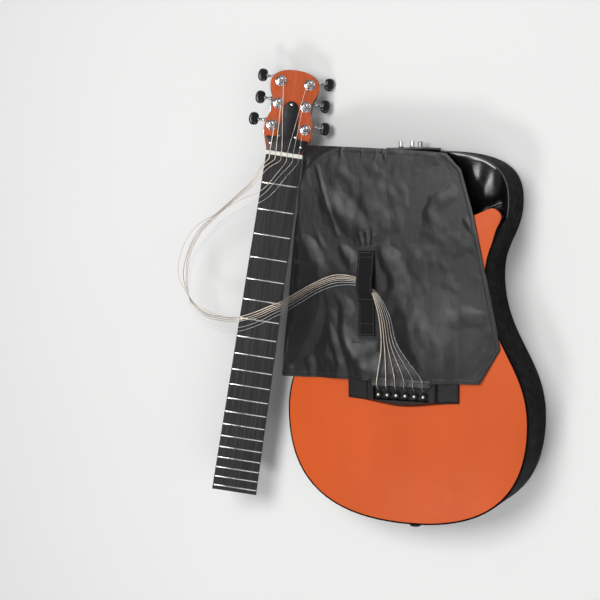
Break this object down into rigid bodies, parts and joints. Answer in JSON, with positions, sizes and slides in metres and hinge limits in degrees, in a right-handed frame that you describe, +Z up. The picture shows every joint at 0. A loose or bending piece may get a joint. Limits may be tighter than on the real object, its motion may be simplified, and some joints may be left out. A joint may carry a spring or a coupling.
{
  "type": "travel guitar",
  "caption": "Steel-string travel guitar taken apart: waisted body with scooped cutaway, detached neck with open-back tuners beside it, strings gathered in a strap over a cloth cover.",
  "frame": {"origin": "on the floor under the middle of the rigid pieces", "axes": "+Z up, out of the soundboard; +Y from the tail to the neck end of the body; +X to the treble side"},
  "size_m": [0.4741, 0.5638, 0.0903],
  "materials": {
    "soundboard": "satin orange lacquer",
    "body_black": "black lacquer, semi-gloss",
    "scoop_gloss": "high-gloss black lacquer",
    "dark_wood": "bare",
    "pale_wood": "bare",
    "fingerboard_black": "oiled, near black",
    "ivory": "polished",
    "chrome": "polished",
    "steel": "brushed",
    "black_plastic": "satin",
    "button_black": "semi-gloss",
    "cover_cloth": "plain woven nylon",
    "webbing": "woven webbing",
    "neck_black": "satin black finish",
    "head_veneer": "orange stain, satin lacquer",
    "cover_plate": "satin",
    "string_bronze": "wound bronze",
    "string_steel": "bright"
  },
  "bodies": {
    "guitar": {"soundboard": "soundboard", "rim": "body_black", "back_panel": "body_black", "cutaway_scoop": "scoop_gloss", "neck_block": "dark_wood", "tail_block": "dark_wood", "top_bracing": "pale_wood", "back_bracing": "pale_wood", "bridge_plate": "dark_wood", "bridge": "fingerboard_black", "saddle": "ivory", "neck_joint_plate": "chrome", "strap_button": "black_plastic", "string_cover": "cover_cloth", "strap_tab": "webbing", "fretboard": "fingerboard_black", "neck": "neck_black", "nut": "ivory", "truss_rod": "steel", "heel_plate": "steel", "headstock_face": "head_veneer", "truss_rod_cover": "cover_plate", "bridge_pin_1": "black_plastic", "bridge_pin_2": "black_plastic", "bridge_pin_3": "black_plastic", "bridge_pin_4": "black_plastic", "bridge_pin_5": "black_plastic", "bridge_pin_6": "black_plastic", "tuner_plate_bass_1": "chrome", "tuner_bushing_bass_1": "chrome", "tuner_plate_bass_2": "chrome", "tuner_bushing_bass_2": "chrome", "tuner_plate_bass_3": "chrome", "tuner_bushing_bass_3": "chrome", "tuner_plate_treble_1": "chrome", "tuner_bushing_treble_1": "chrome", "tuner_plate_treble_2": "chrome", "tuner_bushing_treble_2": "chrome", "tuner_plate_treble_3": "chrome", "tuner_bushing_treble_3": "chrome", "string_1": "string_bronze", "string_2": "string_bronze", "string_3": "string_bronze", "string_4": "string_bronze", "string_5": "string_steel", "string_6": "string_steel"},
    "tuner_post_bass_1": {"tuner_post_bass_1": "chrome"},
    "tuner_key_bass_1": {"tuner_key_bass_1": "button_black"},
    "tuner_post_bass_2": {"tuner_post_bass_2": "chrome"},
    "tuner_key_bass_2": {"tuner_key_bass_2": "button_black"},
    "tuner_post_bass_3": {"tuner_post_bass_3": "chrome"},
    "tuner_key_bass_3": {"tuner_key_bass_3": "button_black"},
    "tuner_post_treble_1": {"tuner_post_treble_1": "chrome"},
    "tuner_key_treble_1": {"tuner_key_treble_1": "button_black"},
    "tuner_post_treble_2": {"tuner_post_treble_2": "chrome"},
    "tuner_key_treble_2": {"tuner_key_treble_2": "button_black"},
    "tuner_post_treble_3": {"tuner_post_treble_3": "chrome"},
    "tuner_key_treble_3": {"tuner_key_treble_3": "button_black"},
    "lock_bolt": {"lock_bolt": "steel"},
    "strap_flap": {"strap_flap": "webbing"}
  },
  "joints": [
    {"name": "key_turn_bass_1", "type": "hinge", "parent": "guitar", "child": "tuner_key_bass_1", "pos_m": [-0.12257, 0.26987, 0.03079], "axis": [-0.8919, 0.1607, 0.4226], "continuous": true},
    {"name": "post_turn_bass_1", "type": "hinge", "parent": "guitar", "child": "tuner_post_bass_1", "pos_m": [-0.12327, 0.26195, 0.03233], "axis": [0.4438, 0.1319, 0.8864], "continuous": true},
    {"name": "key_turn_bass_2", "type": "hinge", "parent": "guitar", "child": "tuner_key_bass_2", "pos_m": [-0.1241, 0.24233, 0.03566], "axis": [-0.8919, 0.1607, 0.4226], "continuous": true},
    {"name": "post_turn_bass_2", "type": "hinge", "parent": "guitar", "child": "tuner_post_bass_2", "pos_m": [-0.1248, 0.2344, 0.03719], "axis": [0.4438, 0.1319, 0.8864], "continuous": true},
    {"name": "key_turn_bass_3", "type": "hinge", "parent": "guitar", "child": "tuner_key_bass_3", "pos_m": [-0.1301, 0.21558, 0.04265], "axis": [-0.8919, 0.1607, 0.4226], "continuous": true},
    {"name": "post_turn_bass_3", "type": "hinge", "parent": "guitar", "child": "tuner_post_bass_3", "pos_m": [-0.1308, 0.20766, 0.04418], "axis": [0.4438, 0.1319, 0.8864], "continuous": true},
    {"name": "key_turn_treble_1", "type": "hinge", "parent": "guitar", "child": "tuner_key_treble_1", "pos_m": [-0.09046, 0.26409, 0.01558], "axis": [0.8919, -0.1607, -0.4226], "continuous": true},
    {"name": "post_turn_treble_1", "type": "hinge", "parent": "guitar", "child": "tuner_post_treble_1", "pos_m": [-0.09116, 0.25617, 0.01711], "axis": [0.4438, 0.1319, 0.8864], "continuous": true},
    {"name": "key_turn_treble_2", "type": "hinge", "parent": "guitar", "child": "tuner_key_treble_2", "pos_m": [-0.09378, 0.23686, 0.0213], "axis": [0.8919, -0.1607, -0.4226], "continuous": true},
    {"name": "post_turn_treble_2", "type": "hinge", "parent": "guitar", "child": "tuner_post_treble_2", "pos_m": [-0.09448, 0.22894, 0.02283], "axis": [0.4438, 0.1319, 0.8864], "continuous": true},
    {"name": "key_turn_treble_3", "type": "hinge", "parent": "guitar", "child": "tuner_key_treble_3", "pos_m": [-0.09264, 0.20883, 0.0249], "axis": [0.8919, -0.1607, -0.4226], "continuous": true},
    {"name": "post_turn_treble_3", "type": "hinge", "parent": "guitar", "child": "tuner_post_treble_3", "pos_m": [-0.09334, 0.20091, 0.02643], "axis": [0.4438, 0.1319, 0.8864], "continuous": true},
    {"name": "lock_bolt_turn", "type": "hinge", "parent": "guitar", "child": "lock_bolt", "pos_m": [0.05704, 0.15209, 0.017], "axis": [0, 1, 0], "continuous": true},
    {"name": "strap_flap_hinge", "type": "hinge", "parent": "guitar", "child": "strap_flap", "pos_m": [0.01103, 0.05709, 0.0769], "axis": [-1, 0, 0], "range_deg": [0, 100]}
  ],
  "couplings": [
    {"joint": "post_turn_bass_1", "follows": "key_turn_bass_1", "ratio": 0.071429},
    {"joint": "post_turn_bass_2", "follows": "key_turn_bass_2", "ratio": 0.071429},
    {"joint": "post_turn_bass_3", "follows": "key_turn_bass_3", "ratio": 0.071429},
    {"joint": "post_turn_treble_1", "follows": "key_turn_treble_1", "ratio": 0.071429},
    {"joint": "post_turn_treble_2", "follows": "key_turn_treble_2", "ratio": 0.071429},
    {"joint": "post_turn_treble_3", "follows": "key_turn_treble_3", "ratio": 0.071429}
  ]
}
